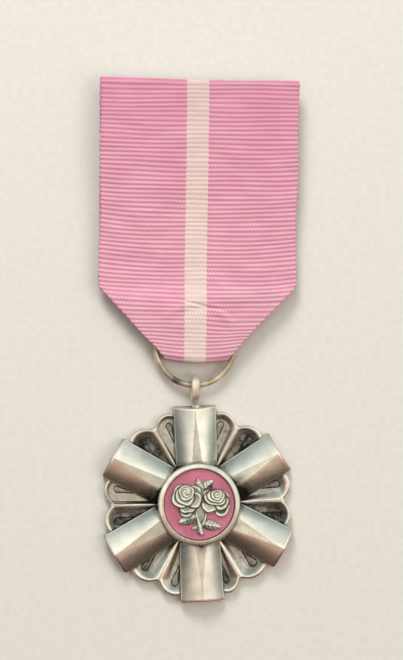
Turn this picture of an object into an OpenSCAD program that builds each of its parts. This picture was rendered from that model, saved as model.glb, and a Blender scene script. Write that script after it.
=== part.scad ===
// Six-armed commemorative medal on a folded ribbon, lying face up on its flat back.
// The origin is the centre of the star's flat back. +Y runs up the ribbon, +Z to the viewer.

/* [Star] */
// Distance between the ends of two opposite arms
star_d = 35; // [34:0.5:36]
// Arm width at the medallion
arm_w_in = 7.2; // [6.6:0.1:7.2]
// Arm width at its outer end
arm_w_out = 7.8; // [7.4:0.1:8.0]
// Height of the arm's crest beside the medallion
arm_crest_z = 3.3; // [3.0:0.1:3.6]
// Height of the arm's crest at its outer end
arm_end_z = 2.9; // [2.6:0.1:3.2]
// Height of the arm's long edges
arm_edge_z = 1.7; // [1.5:0.1:2.0]
// How far the middle of an arm's end is hollowed behind its corners
arm_end_hollow = 0.4; // [0:0.05:0.4]
// Radius of the rosette at the top of each petal
petal_r = 17.1; // [16.8:0.1:17.3]
// Radius of the round top of a petal
petal_round = 2.85; // [2.7:0.05:3.0]
// Height of the hollowed ground of a petal
petal_z = 0.85; // [0.7:0.05:1.0]
// Height of the bead round a petal above its ground
bead_h = 0.55; // [0.4:0.05:0.7]
// Height of the drop inside a petal above its ground
drop_h = 0.4; // [0.2:0.05:0.5]
// Turn of the star in its plane
star_turn = 1.9; // [0:0.1:5]

/* [Medallion] */
// Outer diameter of the round medallion
medallion_d = 14.6; // [14.2:0.1:14.7]
// Width of its rounded rim
rim_w = 0.95; // [0.8:0.05:1.1]
// Height of the top of the rim above the star's back
rim_top_z = 3.9; // [3.8:0.1:4.2]
// Height of the enamel's surface
enamel_z = 3.45; // [3.4:0.05:3.6]
// Height of the roses above the enamel
rose_h = 1.15; // [0.9:0.05:1.3]

/* [Suspension] */
// Outer diameter of the ring that carries the ribbon
ring_d = 15.4; // [15.2:0.1:15.6]
// Thickness of the ring's wire
ring_wire = 1.05; // [0.9:0.05:1.1]
// Length of the eyelet along the medal
eyelet_l = 5.2; // [5:0.1:5.4]
// Height of the eyelet
eyelet_h = 3.4; // [3.3:0.05:3.5]
// Width of the eyelet, across the medal
eyelet_w = 1.5; // [1.2:0.1:1.6]
// Thickness of the eyelet's band
eyelet_band = 0.85; // [0.75:0.05:0.9]

/* [Ribbon] */
// Width of the ribbon
ribbon_w = 35.6; // [35:0.1:37]
// Height of the top edge above the star's centre
ribbon_top_y = 75.8; // [74:0.2:78]
// Height of the lower corners above the star's centre
ribbon_corner_y = 38.8; // [38.4:0.2:39.6]
// Height of the bottom fold above the star's centre
ribbon_bottom_y = 25.6; // [25.1:0.05:25.7]
// Width of the bottom fold
ribbon_bottom_w = 11.4; // [11.2:0.1:11.6]
// Thickness of one layer of ribbon
ribbon_t = 1; // [1:0.05:1.1]
// Lean of the ribbon to the right
ribbon_lean = 0.6; // [0:0.1:1]
// Further slope of its top edge
top_slope = 0.55; // [0:0.05:1]

/* [Brooch] */
// Length of the brooch plate
brooch_l = 28; // [24:1:30]
// Width of the brooch plate
brooch_w = 4; // [3.5:0.1:4.5]
// Height of the brooch's middle above the star's centre
brooch_y = 69; // [66:0.5:70]
// Thickness of the pin
pin_d = 0.9; // [0.8:0.05:1]

/* [Hidden] */
round_fn = 64;
gap = 0.05;

// Star
arms = 6;
sector = 360 / arms;
half_sector = sector / 2;
seat_r = medallion_d / 2 + 0.15;
seat_z = 2.2;
seat_step = 0.06;
arm_r = star_d / 2 + 0.1;
petal_a = 19;
petal_c = petal_r - petal_round;
cusp_r = 15.75;
meet_s = 16.05;
flat_in = 0.28;
flat_end = 0.88;
arch_power = 1.7;
ridge_w = 0.3;
bead_w = 0.5;
drop_in_r = 11.3;
drop_out_r = 15.1;
drop_a = 18.7;
drop_half_w = 0.8;

// Steps of the star's grid: across an arm, then across a gap, then along both
arm_steps = 10;
half_gap = [0, 0.08, 0.16, 0.24, 0.32, 0.39, 0.44, 0.475];
gap_steps = concat(half_gap, [0.5], [for (i = [7:-1:0]) 1 - half_gap[i]]);
row_steps = concat([for (j = [0:12]) j * 0.076], [0.942, 0.962, 0.984, 1]);
nu = arm_steps;
ng = len(gap_steps) - 1;
nr = len(row_steps) - 1;

// Medallion
cup_floor = 0.6;

// Roses: the sprig's main places on the medallion
left_rose = [-2.25, 0.9];
right_rose = [2.9, 0.3];
leaf_h = 0.35;
vein_h = 0.14;
stem_w = 0.5;
stem_h = 0.45;

// Columns: petals in the tier, distance out, petal radius, height as a share, turn
rose_tiers = [
    [5, 1.55, 1, 0.42, 0],
    [5, 1, 0.84, 0.64, 36],
    [3, 0.54, 0.54, 0.84, 15]];

// Columns: where the leaf starts, its direction, its length and its width
leaf_table = [
    [[0.3, 2.6], 112, 2.2, 1.2],
    [[0.35, 2.85], 34, 2.5, 1.3],
    [[0.2, 1], 92, 2.7, 1.3],
    [[-0.8, -2.1], 202, 3.2, 1.7],
    [[0.65, -3.4], 350, 3.3, 1.5],
    [[0, -3.6], 212, 1.6, 0.8]];

// Suspension
ring_r = (ring_d - ring_wire) / 2;
ring_x = -0.63;
ring_y = 28.45;
ring_z = 1.65;
eyelet_x = -0.55;
eyelet_y = 20.7;
eyelet_z = eyelet_h / 2;

// Ribbon
pocket_h = ring_wire + 0.25;
front_z = 2 * ribbon_t + pocket_h;
pocket_end_y = ring_y + ring_d / 2 + 0.5;
layer_gap = 0.2;
layer_rise = ribbon_t + layer_gap;
lap_y = pocket_end_y + 2.4;
lap_z = 0.7;
rest_y = brooch_y - 3;
rest_z = 2.45;
top_z = 2.55;
tongue_w = ribbon_bottom_w - 1;
ribbon_x = -0.3;

function mix(a, b, f) = a + (b - a) * f;
function clamp01(v) = max(0, min(1, v));
function smooth(v) = let (c = clamp01(v)) c * c * (3 - 2 * c);
function polar(r, a) = [r * cos(a), r * sin(a)];

// Half width of an arm at a distance s along it
function arm_half(s) = mix(arm_w_in, arm_w_out, (s - seat_r) / (arm_r - seat_r)) / 2;

// Distance along an arm of row j, at the place t across it from -1 to 1
function arm_s(t, j) =
    let (start = sqrt(pow(seat_r, 2) - pow(t * arm_half(seat_r), 2)))
    j > nr ? arm_r - arm_end_hollow * (1 - t * t) : mix(start, meet_s, row_steps[j]);

// Height of an arm: a flat facet that narrows outwards, with arched flanks
function arm_z(s, t) =
    let (q = clamp01((s - seat_r) / (arm_r - seat_r)))
    let (crest = mix(arm_crest_z, arm_end_z, q))
    let (flat = flat_in * clamp01(1 - q / flat_end))
    let (v = clamp01((abs(t) - flat) / (1 - flat)))
    arm_edge_z + (crest - arm_edge_z) * (1 - pow(v, arch_power));

function arm_point(k, i, j) =
    let (t = 2 * i / nu - 1)
    let (s = arm_s(t, j))
    let (y = t * arm_half(s))
    let (a = k * sector)
    [s * cos(a) - y * sin(a), s * sin(a) + y * cos(a), arm_z(s, t)];

// Radius of the petals' edge at the angle a from the nearest arm's axis
function petal_edge(a) =
    let (d = a - petal_a)
    let (root = pow(petal_round, 2) - pow(petal_c * sin(d), 2))
    max(cusp_r, petal_c * cos(d) + sqrt(max(0, root)));

// Distance from the middle line of the drop, less its half width there
function drop_depth(r, a) =
    let (along = clamp01((r - drop_in_r) / (drop_out_r - drop_half_w - drop_in_r)))
    let (mid_r = mix(drop_in_r, drop_out_r - drop_half_w, along))
    let (off = norm(polar(r, a) - polar(mid_r, drop_a)))
    drop_half_w * mix(0.3, 1, along) - off;

// Height of the rosette between the arms
function petal_height(r, a, edge) =
    let (off_ridge = r * sin(half_sector - a))
    let (ridge = bead_h * smooth(1 - (off_ridge - ridge_w / 2) / ridge_w))
    let (bead = bead_h * smooth((bead_w - (edge - r)) / (bead_w * 0.4)))
    let (rolled = (edge - r) < 0.05 ? 0.25 : 0)
    let (dish = 0.25 * smooth(off_ridge / 2.5))
    let (drop = drop_h * smooth(drop_depth(r, a) / 0.3 + 0.3))
    petal_z - dish + max(ridge, bead, drop) - rolled;

function gap_point(k, m, j) =
    let (s = arm_s(1, j))
    let (w = arm_half(s))
    let (side_a = atan2(w, s))
    let (end_a = atan2(arm_half(meet_s), meet_s))
    let (a = mix(side_a, sector - side_a, gap_steps[m]))
    let (near = min(a, sector - a))
    let (edge_a = mix(end_a, sector - end_a, gap_steps[m]))
    let (edge = petal_edge(min(edge_a, sector - edge_a)))
    let (meet_r = norm([meet_s, arm_half(meet_s)]))
    let (on_side = m == 0 || m == ng)
    let (reach = on_side ? 0 : (edge - meet_r) * row_steps[j])
    let (r = norm([s, w]) + reach)
    concat(polar(r, a + k * sector), [petal_height(r, near, on_side ? meet_r : edge)]);

module star_body() {
    na = (nu + 1) * (nr + 2);
    nn = (ng + 1) * (nr + 1);
    per = na + nn + (nu + ng) + (nu + ng + 2);
    function a_i(k, i, j) = (k % arms) * per + i * (nr + 2) + j;
    function g_i(k, m, j) = (k % arms) * per + na + m * (nr + 1) + j;
    function s_i(k, c) =
        c == nu + ng ? s_i(k + 1, 0) : (k % arms) * per + na + nn + c;
    function b_i(k, c) = (k % arms) * per + na + nn + nu + ng + c;
    low = arms * per;
    high = low + 1;
    function seat(p) = [p.x * (1 - seat_step / seat_r), p.y * (1 - seat_step / seat_r), seat_z];
    function floor_of(p) = [p.x, p.y, 0];
    points = concat(
        [for (k = [0:arms - 1]) each concat(
            [for (i = [0:nu], j = [0:nr + 1]) arm_point(k, i, j)],
            [for (m = [0:ng], j = [0:nr]) gap_point(k, m, j)],
            [for (i = [0:nu]) seat(arm_point(k, i, 0))],
            [for (m = [1:ng - 1]) seat(gap_point(k, m, 0))],
            [for (i = [0:nu]) floor_of(arm_point(k, i, nr + 1))],
            [for (m = [0:ng]) floor_of(gap_point(k, m, nr))])],
        [[0, 0, 0], [0, 0, seat_z]]);
    faces = [for (k = [0:arms - 1]) each concat(
        // Top of the arm, then of the gap
        [for (i = [0:nu - 1], j = [0:nr]) each quad(
            a_i(k, i, j), a_i(k, i + 1, j), a_i(k, i + 1, j + 1), a_i(k, i, j + 1))],
        [for (m = [0:ng - 1], j = [0:nr - 1]) each quad(
            g_i(k, m, j), g_i(k, m + 1, j), g_i(k, m + 1, j + 1), g_i(k, m, j + 1))],
        // Side walls between arm and gap
        [for (j = [0:nr - 1]) each quad(
            a_i(k, nu, j), g_i(k, 0, j), g_i(k, 0, j + 1), a_i(k, nu, j + 1))],
        [for (j = [0:nr - 1]) each quad(
            g_i(k, ng, j), a_i(k + 1, 0, j), a_i(k + 1, 0, j + 1), g_i(k, ng, j + 1))],
        // Seat of the medallion
        [for (i = [0:nu - 1]) each quad(
            s_i(k, i), s_i(k, i + 1), a_i(k, i + 1, 0), a_i(k, i, 0))],
        [for (m = [0:ng - 1]) each quad(
            s_i(k, nu + m), s_i(k, nu + m + 1), g_i(k, m + 1, 0), g_i(k, m, 0))],
        [[s_i(k, nu), g_i(k, 0, 0), a_i(k, nu, 0)]],
        [[s_i(k, nu + ng), a_i(k + 1, 0, 0), g_i(k, ng, 0)]],
        [for (c = [0:nu + ng - 1]) [high, s_i(k, c + 1), s_i(k, c)]],
        // Outer walls of the arm's end, its two free corners and the petals
        [for (i = [0:nu - 1]) each quad(
            a_i(k, i, nr + 1), a_i(k, i + 1, nr + 1), b_i(k, i + 1), b_i(k, i))],
        [for (m = [0:ng - 1]) each quad(
            g_i(k, m, nr), g_i(k, m + 1, nr), b_i(k, nu + 2 + m), b_i(k, nu + 1 + m))],
        fan([b_i(k, nu), a_i(k, nu, nr + 1), a_i(k, nu, nr), g_i(k, 0, nr), b_i(k, nu + 1)]),
        fan([b_i(k + 1, 0), b_i(k, nu + ng + 1), g_i(k, ng, nr),
             a_i(k + 1, 0, nr), a_i(k + 1, 0, nr + 1)]),
        // Flat back
        [for (c = [0:nu + ng]) [low, b_i(k, c), b_i(k, c + 1)]],
        [[low, b_i(k, nu + ng + 1), b_i(k + 1, 0)]])];
    polyhedron(points, faces);
}

function quad(a, b, c, d) = [[a, b, c], [a, c, d]];
function fan(p) = [for (i = [1:len(p) - 2]) [p[0], p[i], p[i + 1]]];

// A slot with round ends in the YZ plane, as thick as the eyelet is wide
module eyelet_slot(l, h, w) {
    rotate([90, 0, 90]) linear_extrude(w, center = true) {
        for (side = [-1, 1]) translate([side * (l - h) / 2, 0]) circle(d = h, $fn = round_fn);
        square([l - h, h], center = true);
    }
}

// The pierced eyelet that stands on edge, with the foot that joins it to the top arm
module eyelet() {
    inner_l = eyelet_l - 2 * eyelet_band;
    inner_h = eyelet_h - 2 * eyelet_band;
    foot_l = 2.6;
    foot_z = 1.5;
    difference() {
        union() {
            translate([eyelet_x, eyelet_y, eyelet_z]) eyelet_slot(eyelet_l, eyelet_h, eyelet_w);
            translate([eyelet_x - eyelet_w / 2, eyelet_y - eyelet_l / 2 - foot_l + eyelet_band, 0])
                cube([eyelet_w, foot_l, foot_z]);
        }
        translate([eyelet_x, eyelet_y, eyelet_z]) eyelet_slot(inner_l, inner_h, eyelet_w + 1);
    }
}

module star() {
    color([0.72, 0.7, 0.66]) union() {
        rotate(90 + star_turn) star_body();
        eyelet();
    }
}

// A shallow round cup with a rounded rim, which holds the enamel
module medallion() {
    r = medallion_d / 2;
    foot_z = seat_z + gap;
    floor_z = foot_z + cup_floor;
    lip_z = rim_top_z - rim_w / 2;
    color([0.75, 0.7, 0.64]) rotate_extrude($fn = round_fn) {
        square_at(0, foot_z, r - rim_w + 0.1, floor_z - foot_z);
        square_at(r - rim_w, foot_z, rim_w, lip_z - foot_z);
        translate([r - rim_w / 2, lip_z]) circle(d = rim_w, $fn = 24);
    }
}

module square_at(x, y, w, h) {
    translate([x, y]) square([w, h]);
}

module enamel() {
    r = medallion_d / 2 - rim_w - gap;
    floor_z = seat_z + cup_floor + 2 * gap;
    color([0.72, 0.33, 0.42]) translate([0, 0, floor_z])
        cylinder(r = r, h = enamel_z - floor_z, $fn = round_fn);
}

// One tier of a rose: round petals set in a ring, all of one height
module tier(count, out, petal, h, turn) {
    linear_extrude(h) for (i = [0:count - 1])
        rotate(turn + i * 360 / count) translate([out, 0]) circle(r = petal, $fn = 24);
}

// One rose: tiers of petals that rise to a bud
module rose(turn) {
    bud_r = 0.42;
    for (row = rose_tiers)
        tier(row[0], row[1], row[2], row[3] * rose_h, turn + row[4]);
    cylinder(r1 = bud_r, r2 = bud_r / 2, h = rose_h, $fn = 24);
}

// One leaf with toothed edges and a raised middle vein, its stalk at p
module leaf(p, a, l, w) {
    steps = 8;
    tooth = 0.16;
    stalk = 0.12;
    vein_l = l * 0.85;
    vein_end = 0.03;
    edge = [for (i = [1:steps - 1])
        let (f = i / steps)
        let (out = tooth * (i % 2))
        [l * f - out, w / 2 * sin(180 * pow(f, 0.8)) + out]];
    back = [for (i = [steps - 2:-1:0]) [edge[i].x, -edge[i].y]];
    translate(p) rotate(a) {
        linear_extrude(leaf_h)
            polygon(concat([[-stalk, stalk]], edge, [[l, 0]], back, [[-stalk, -stalk]]));
        linear_extrude(leaf_h + vein_h)
            polygon([[0, stalk], [vein_l, vein_end], [vein_l, -vein_end], [0, -stalk]]);
    }
}

module stem(from, to) {
    d = to - from;
    translate(from) rotate(atan2(d.y, d.x)) translate([0, -stem_w / 2, 0])
        cube([norm(d), stem_w, stem_h]);
}

module rose_relief() {
    crossing = [0.25, -4.25];
    left_end = [-0.15, -5.05];
    right_end = [0.55, -5.3];
    color([0.7, 0.66, 0.6]) translate([0, 0, enamel_z + gap]) {
        translate(left_rose) rose(12);
        translate(right_rose) rose(50);
        for (row = leaf_table) leaf(row[0], row[1], row[2], row[3]);
        stem(left_rose, crossing);
        stem(right_rose, crossing);
        stem(crossing, left_end);
        stem(crossing, right_end);
    }
}

module ring() {
    color([0.62, 0.56, 0.5]) translate([ring_x, ring_y, ring_z])
        rotate_extrude($fn = round_fn) translate([ring_r, 0]) circle(d = ring_wire, $fn = 24);
}

// Side view of the front layer, along Y and up: over the ring, then up to the top fold
module front_side() {
    polygon([
        [ribbon_bottom_y + 0.45, front_z - ribbon_t], [pocket_end_y, front_z - ribbon_t],
        [lap_y, lap_z + layer_rise], [rest_y, rest_z + layer_rise],
        [ribbon_top_y + 1, top_z + layer_rise],
        [ribbon_top_y + 1, top_z + layer_rise + ribbon_t],
        [rest_y, rest_z + layer_rise + ribbon_t], [lap_y, lap_z + layer_rise + ribbon_t],
        [pocket_end_y, front_z], [ribbon_bottom_y + 1, front_z]]);
}

// Side view of the back layer, from the top fold down to its lower edge
module back_side() {
    polygon([
        [lap_y, lap_z], [rest_y, rest_z], [ribbon_top_y + 1, top_z],
        [ribbon_top_y + 1, top_z + ribbon_t], [rest_y, rest_z + ribbon_t],
        [lap_y, lap_z + ribbon_t]]);
}

// Side view of the tongue, which turns under the ring and is sewn to the back layer
module tongue_side() {
    fold_r = front_z / 2;
    mid_y = ribbon_bottom_y + fold_r;
    end_y = lap_y + 5;
    end_z = 0.5;
    bend_y = lap_y - 1;
    sewn_z = lap_z + ribbon_t / 2;
    difference() {
        union() {
            translate([mid_y, fold_r]) circle(r = fold_r, $fn = round_fn);
            polygon([
                [mid_y, 0], [bend_y, 0], [end_y, end_z], [end_y, sewn_z + end_z / 2],
                [lap_y, sewn_z], [bend_y, ribbon_t], [mid_y, ribbon_t]]);
        }
        translate([mid_y, fold_r]) circle(r = fold_r - ribbon_t, $fn = 32);
        translate([mid_y, ribbon_t]) square([front_z, pocket_h]);
        translate([mid_y, front_z - ribbon_t]) square([front_z, 2 * ribbon_t]);
    }
}

// Front outline of the ribbon, with its slanted lower corners and its bowed bottom fold
module ribbon_outline() {
    half = ribbon_w / 2;
    foot = ribbon_bottom_w / 2;
    level = foot * 0.4;
    bow = 0.5;
    rise = half * tan(top_slope);
    polygon([
        [-half, ribbon_top_y + rise], [half, ribbon_top_y - rise],
        [half, ribbon_corner_y], [foot, ribbon_bottom_y + bow], [level, ribbon_bottom_y],
        [-level, ribbon_bottom_y], [-foot, ribbon_bottom_y + bow], [-half, ribbon_corner_y]]);
}

// The top fold, which joins the two layers along the sloping top edge
module top_fold() {
    step = 0.02;
    h = layer_rise + ribbon_t - 2 * step;
    rise = ribbon_w / 2 * tan(top_slope);
    translate([0, ribbon_top_y, top_z + step]) rotate(-top_slope)
        translate([-ribbon_w / 2, -ribbon_t, 0]) cube([ribbon_w, ribbon_t - rise / 2, h]);
}

module across(w) {
    translate([-w / 2, 0, 0]) rotate([90, 0, 90]) linear_extrude(w) children();
}

module ribbon() {
    color([0.88, 0.62, 0.69])
        translate([ribbon_x, ribbon_bottom_y, 0]) rotate(-ribbon_lean)
            translate([0, -ribbon_bottom_y, 0]) {
                intersection() {
                    across(2 * ribbon_w) {
                        front_side();
                        back_side();
                    }
                    linear_extrude(3 * front_z) ribbon_outline();
                }
                across(tongue_w) tongue_side();
                top_fold();
            }
}

// The plate behind the ribbon's top, with the pin that is held between two posts
module brooch_pin() {
    plate_t = 0.6;
    plate_z = 1.75;
    post_w = 1.6;
    post_l = 2;
    post_x = (brooch_l - post_w) / 2;
    pin_z = pin_d / 2 + 0.2;
    color([0.6, 0.6, 0.58]) translate([0, brooch_y, 0]) {
        translate([-brooch_l / 2, -brooch_w / 2, plate_z]) cube([brooch_l, brooch_w, plate_t]);
        for (side = [-1, 1]) translate([side * post_x - post_w / 2, -post_l / 2, 0])
            cube([post_w, post_l, plate_z + plate_t / 2]);
        translate([-post_x, 0, pin_z]) rotate([0, 90, 0]) cylinder(d = pin_d, h = 2 * post_x, $fn = 32);
    }
}

star();
medallion();
enamel();
rose_relief();
ring();
ribbon();
brooch_pin();
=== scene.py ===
import math

import bpy
import numpy as np
from mathutils import Matrix, Vector


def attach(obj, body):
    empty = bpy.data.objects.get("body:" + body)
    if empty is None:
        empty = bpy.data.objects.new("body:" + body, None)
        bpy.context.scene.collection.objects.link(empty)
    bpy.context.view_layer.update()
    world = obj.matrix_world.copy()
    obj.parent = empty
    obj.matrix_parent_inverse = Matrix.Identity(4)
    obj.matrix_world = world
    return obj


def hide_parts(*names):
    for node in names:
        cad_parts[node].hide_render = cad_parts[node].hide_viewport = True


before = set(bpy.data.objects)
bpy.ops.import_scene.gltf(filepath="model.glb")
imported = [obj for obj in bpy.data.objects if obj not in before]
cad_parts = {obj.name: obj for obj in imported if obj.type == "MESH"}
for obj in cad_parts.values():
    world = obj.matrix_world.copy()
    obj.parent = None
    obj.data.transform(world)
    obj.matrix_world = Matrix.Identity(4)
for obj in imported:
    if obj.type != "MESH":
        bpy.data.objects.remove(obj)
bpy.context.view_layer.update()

MM = 0.001

# The camera stands about 400 mm over the medal, a little to its left, as the photograph
# was taken: the star's high parts lean about a quarter of a millimetre to the lower right.
photo_px_per_mm = 5.575
photo_height_px = 660
photo_middle_mm = (0.63, 31.14, 1.5)
camera_mm = (-43.0, 26.0, 400.0)
sensor_mm = 24.0

scene = bpy.context.scene
aim = Vector(photo_middle_mm) * MM
stand = Vector(camera_mm) * MM
view_height = photo_height_px / photo_px_per_mm * MM
camera_data = bpy.data.cameras.new("photo_camera")
camera_data.sensor_fit = "VERTICAL"
camera_data.sensor_height = sensor_mm
camera_data.lens = sensor_mm * (stand - aim).length / view_height
camera_data.clip_start = 0.01
camera = bpy.data.objects.new("photo_camera", camera_data)
camera.location = stand
back = (stand - aim).normalized()
right = Vector((0, 1, 0)).cross(back).normalized()
camera.rotation_euler = Matrix((right, back.cross(right), back)).transposed().to_euler()
scene.collection.objects.link(camera)
scene.camera = camera


# The table is one plain pale sheet with a faint even grain, far wider than the view. It is
# stage, not medal.
half = 0.6
table_mesh = bpy.data.meshes.new("table")
table_mesh.from_pydata([(-half, -half, 0), (half, -half, 0), (half, half, 0), (-half, half, 0)],
                       [], [(0, 1, 2, 3)])
table = bpy.data.objects.new("table", table_mesh)
scene.collection.objects.link(table)


class Wire:
    """A number or colour on its way through a material's nodes; plain operators add nodes."""

    def __init__(self, socket):
        self.socket = socket

    def __add__(self, other):
        return calc("ADD", self, other)

    def __sub__(self, other):
        return calc("SUBTRACT", self, other)

    def __rsub__(self, other):
        return calc("SUBTRACT", other, self)

    def __mul__(self, other):
        return calc("MULTIPLY", self, other)

    def __truediv__(self, other):
        return calc("DIVIDE", self, other)

    def __pow__(self, other):
        return calc("POWER", self, other)

    def __abs__(self):
        return calc("ABSOLUTE", self)


def plug(node, inputs):
    """Sets a node's inputs, by name or number, to plain values, or links them to wires."""
    for key, value in inputs.items():
        socket = node.inputs[key]
        if isinstance(value, Wire):
            node.id_data.links.new(value.socket, socket)
        else:
            socket.default_value = (*value, 1) if socket.type == "RGBA" else value


def add_node(tree, kind, inputs, out=0, **settings):
    """Adds one node with its inputs and settings, and returns one of its outputs."""
    node = tree.nodes.new("ShaderNode" + kind)
    for key, value in settings.items():
        setattr(node, key, value)
    plug(node, inputs)
    return Wire(node.outputs[out])


def tree_of(*values):
    """The node tree that the first wire among the values runs in."""
    return next(v.socket.id_data for v in values if isinstance(v, Wire))


def calc(operation, *values):
    """One Math node on wires and plain numbers."""
    return add_node(tree_of(*values), "Math", dict(enumerate(values)), operation=operation)


def clamp(wire):
    """Keeps what the wire's last Math node gives within 0 and 1."""
    wire.socket.node.use_clamp = True
    return wire


def noise(tree, scale, detail=3, place=None, stretch=(1, 1, 1)):
    """Noise in cycles a metre, on the piece's own Object coordinates unless a place is given."""
    place = place or add_node(tree, "TexCoord", {}, "Object")
    mapped = add_node(tree, "Mapping", {"Vector": place, "Scale": stretch})
    return add_node(tree, "TexNoise", {"Vector": mapped, "Scale": scale, "Detail": detail})


def ramp(value, stops):
    """A colour ramp: stops are (place, (r, g, b)) or (place, grey)."""
    wire = add_node(tree_of(value), "ValToRGB", {"Fac": value})
    band = wire.socket.node.color_ramp
    while len(band.elements) < len(stops):
        band.elements.new(0.5)
    for element, (place, colour) in zip(band.elements, stops):
        element.position = place
        element.color = (*np.broadcast_to(colour, 3), 1)
    return wire


def blend(share, a, b, how="MIX"):
    """A colour Mix node: a where share is 0, b where it is 1."""
    return add_node(tree_of(share, a, b), "MixRGB", {"Fac": share, "Color1": a, "Color2": b},
                    blend_type=how)


def product(a, b):
    """One colour times another."""
    return blend(1, a, b, "MULTIPLY")


def roughen(shader, height, strength, distance):
    """Feeds a height in 0 to 1 to the shader's normal through a Bump node."""
    bump = {"Height": height, "Strength": strength, "Distance": distance}
    plug(shader, {"Normal": add_node(shader.id_data, "Bump", bump)})


def start_finish(name, colour, metal=0.0, rough=0.5, specular=0.5):
    """A node material with one Principled shader: returns it, its node tree and the shader."""
    finish = bpy.data.materials.new(name)
    finish.use_nodes = True
    finish.diffuse_color = (*colour, 1)
    shader = finish.node_tree.nodes["Principled BSDF"]
    plug(shader, {"Base Color": colour, "Metallic": metal, "Roughness": rough,
                  "Specular IOR Level": specular})
    return finish, finish.node_tree, shader


table_finish, tree, shader = start_finish("pale_table", (0.62, 0.61, 0.59), rough=0.8)
grain = ramp(noise(tree, 900, 4), [(0.3, (0.60, 0.59, 0.57)), (0.7, (0.64, 0.63, 0.61))])
plug(shader, {"Base Color": grain})
table_mesh.materials.append(table_finish)


# The room is a soft tent: warm white overhead with a darker patch straight up, where one looks
# in, dim at the far left and right, cool grey behind the ribbon's top, and brown and dark
# below the star. Two soft lamps cast the light.
world = bpy.data.worlds.new("studio_tent")
scene.world = world
world.use_nodes = True
tree = world.node_tree
ray = add_node(tree, "TexCoord", {}, "Generated")
east, north, up = map(Wire, add_node(tree, "SeparateXYZ", {"Vector": ray}).socket.node.outputs)


def half_up(part):
    """Moves a direction's part from -1..1 to 0..1."""
    return part * 0.5 + 0.5


up_down = ramp(half_up(north), [
    (0.05, (0.06, 0.048, 0.042)), (0.13, (0.10, 0.078, 0.067)), (0.19, (0.26, 0.19, 0.155)),
    (0.25, (0.40, 0.285, 0.23)), (0.35, (0.52, 0.38, 0.30)), (0.40, (0.72, 0.61, 0.50)),
    (0.44, (0.92, 0.87, 0.75)), (0.50, (0.98, 0.95, 0.83)), (0.56, (1.0, 0.98, 0.86)),
    (0.63, (0.94, 0.94, 0.86)), (0.72, (0.82, 0.85, 0.79)), (0.80, (0.62, 0.66, 0.62)),
    (0.87, (0.40, 0.45, 0.43)), (1.0, (0.28, 0.33, 0.33))])
sideways = ramp(half_up(east), [
    (0.0, (0.15, 0.17, 0.18)), (0.08, (0.24, 0.26, 0.28)), (0.105, (0.31, 0.33, 0.35)),
    (0.14, (0.45, 0.47, 0.49)), (0.19, (0.66, 0.67, 0.68)), (0.25, (0.86, 0.85, 0.85)),
    (0.35, 1.0), (0.84, 1.0), (0.88, (0.88, 0.90, 0.91)), (0.93, (0.58, 0.61, 0.62)),
    (0.98, (0.36, 0.39, 0.40))])
overhead = ramp(up, [
    (0.0, 0.45), (0.35, 0.8), (0.60, 1.0), (0.962, 1.0), (0.990, (0.42, 0.385, 0.35))])
plug(tree.nodes["Background"], {"Color": product(product(up_down, sideways), overhead),
                                "Strength": 1.5})


def soft_lamp(name, place_mm, size_mm, power, colour):
    """A square area light turned to the medal. Polished metal doesn't mirror it."""
    data = bpy.data.lights.new(name, "AREA")
    data.shape = "SQUARE"
    data.size = size_mm * MM
    data.energy = power
    data.color = colour
    lamp = bpy.data.objects.new(name, data)
    lamp.location = Vector(place_mm) * MM
    lamp.rotation_euler = (aim - lamp.location).to_track_quat("-Z", "Y").to_euler()
    lamp.visible_glossy = False
    scene.collection.objects.link(lamp)


soft_lamp("window", (-120, 460, 330), 200, 2.4, (1.0, 0.97, 0.93))
soft_lamp("fill", (330, -60, 420), 300, 0.6, (1.0, 0.93, 0.86))
scene.view_settings.view_transform = "Standard"


# The ribbon is one ribbed tape, nearly 36 mm wide, pink with a pale stripe. It runs up the
# back, over a top fold, down the front, and ends in a tongue that turns round the ring.
tape_width = 35.7
tape_t = 0.45
rib_pitch = 0.797
rib_height = 0.11
thread_pitch = 0.567
stripe_width = 3.95
stripe_x = -0.4
tone_down_tape_length = 48
top_y = 75.65
hem_y = 40.4
corner_y = 38.6
right_corner_lift = 0.45
fold_y = 25.85
foot_half = 5.7
tongue_y = 44.6
front_lap_z = 2.3
front_top_z = 3.62
over_ring_z = 3.0
under_ring_z = 0.42
lean_deg = 0.6
tape_x = -0.3
ring_middle = (-0.63, 28.45)
ring_radius = 7.175


def rise(v, start=0, over=1):
    """0 up to start, 1 from start + over on, the smooth cubic 3s^2 - 2s^3 between.

    With over below 0 it is 1 for the lower values instead."""
    s = np.clip((v - start) / over, 0, 1)
    return s * s * (3 - 2 * s)


def bell(v, width, power=2):
    """1 where v is 0, falling as e to the minus power of v's size over the width."""
    return np.exp(-np.abs(v / width) ** power)


def between(a, b, share):
    """The value that lies a share of the way from a to b."""
    return a + (b - a) * share


def signed_power(v, power):
    """The power of v's size, with v's sign: below 1 it makes a circle squarish."""
    return np.sign(v) * np.abs(v) ** power


def front_height(y):
    """Height of the front layer's middle, which eases from the lap up to the top and the ring."""
    return between(between(front_lap_z, front_top_z, rise(y, 40, 26)), over_ring_z,
                   rise(y, 39.5, -3.2))


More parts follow.
